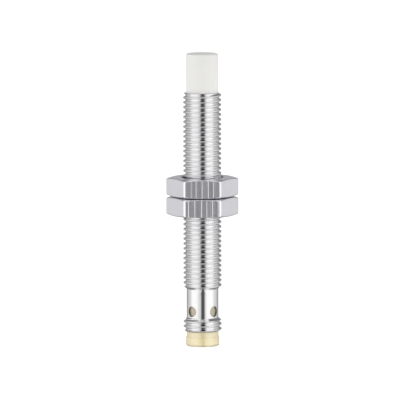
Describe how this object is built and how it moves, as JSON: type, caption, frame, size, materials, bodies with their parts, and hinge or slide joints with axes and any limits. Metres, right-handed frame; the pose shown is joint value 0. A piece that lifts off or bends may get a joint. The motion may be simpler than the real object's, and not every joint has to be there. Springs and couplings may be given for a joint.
{
  "type": "proximity sensor",
  "caption": "Slim cylindrical inductive proximity sensor with a threaded metal barrel, a plain plastic sensing cap, hexagon lock nuts and a pin connector at the other end.",
  "frame": {"origin": "on the barrel's axis, at the connector end of the nose", "axes": "+Z along the barrel towards the sensing face; the nuts' flats face -Y and +Y"},
  "size_m": [0.0147, 0.013, 0.06],
  "materials": {
    "nickel_plate": "bright nickel plate over machined thread",
    "nut_nickel": "satin nickel plate with draw lines on the flats",
    "cap_plastic": "smooth matt off-white plastic",
    "insert_plastic": "slightly translucent pale yellow plastic",
    "gold_plate": "gold plated contact",
    "ferrite": "sintered ferrite",
    "bobbin_plastic": "natural moulded plastic",
    "enamelled_copper": "enamelled copper wire",
    "board_laminate": "glass-fibre board with solder mask",
    "moulded_case": "moulded semiconductor case",
    "tinned_metal": "tinned",
    "diode_glass": "glass diode body",
    "ceramic": "fired ceramic",
    "resistor_body": "glazed resistor",
    "led_resin": "clear yellow resin",
    "seal_rubber": "matt rubber",
    "potting_resin": "cast resin"
  },
  "bodies": {
    "sensor_body": {"housing_tube": "nickel_plate", "sensing_cap": "cap_plastic", "ferrite_core": "ferrite", "coil_bobbin": "bobbin_plastic", "coil_winding": "enamelled_copper", "coil_leads": "enamelled_copper", "circuit_board": "board_laminate", "evaluation_chip": "moulded_case", "chip_leads": "tinned_metal", "output_transistor": "moulded_case", "transistor_leads": "tinned_metal", "protection_diode": "diode_glass", "capacitors": "ceramic", "resistors": "resistor_body", "status_led_front": "led_resin", "status_led_back": "led_resin", "contact_carrier": "insert_plastic", "contact_pin_1": "gold_plate", "contact_pin_3": "gold_plate", "contact_pin_4": "gold_plate", "solder_joints": "tinned_metal", "carrier_o_ring": "seal_rubber", "potting_compound": "potting_resin"},
    "upper_nut_travel_body": {"upper_nut_thread": "nut_nickel"},
    "upper_nut_body": {"upper_nut": "nut_nickel"},
    "lower_nut_travel_body": {"lower_nut_thread": "nut_nickel"},
    "lower_nut_body": {"lower_nut": "nut_nickel"}
  },
  "joints": [
    {"name": "upper_nut_travel", "type": "slide", "parent": "sensor_body", "child": "upper_nut_travel_body", "axis": [0, 0, 1], "range_m": [0, 0.017]},
    {"name": "upper_nut_turn", "type": "hinge", "parent": "upper_nut_travel_body", "child": "upper_nut_body", "pos_m": [0, 0, 0.03275], "axis": [0, 0, 1], "range_deg": [0, 6120]},
    {"name": "lower_nut_travel", "type": "slide", "parent": "sensor_body", "child": "lower_nut_travel_body", "axis": [0, 0, 1], "range_m": [-0.014, 0]},
    {"name": "lower_nut_turn", "type": "hinge", "parent": "lower_nut_travel_body", "child": "lower_nut_body", "pos_m": [0, 0, 0.0288], "axis": [0, 0, 1], "range_deg": [-5040, 0]}
  ],
  "couplings": [
    {"joint": "upper_nut_turn", "follows": "upper_nut_travel", "rad_per_m": 6283.2},
    {"joint": "lower_nut_turn", "follows": "lower_nut_travel", "rad_per_m": 6283.2}
  ]
}
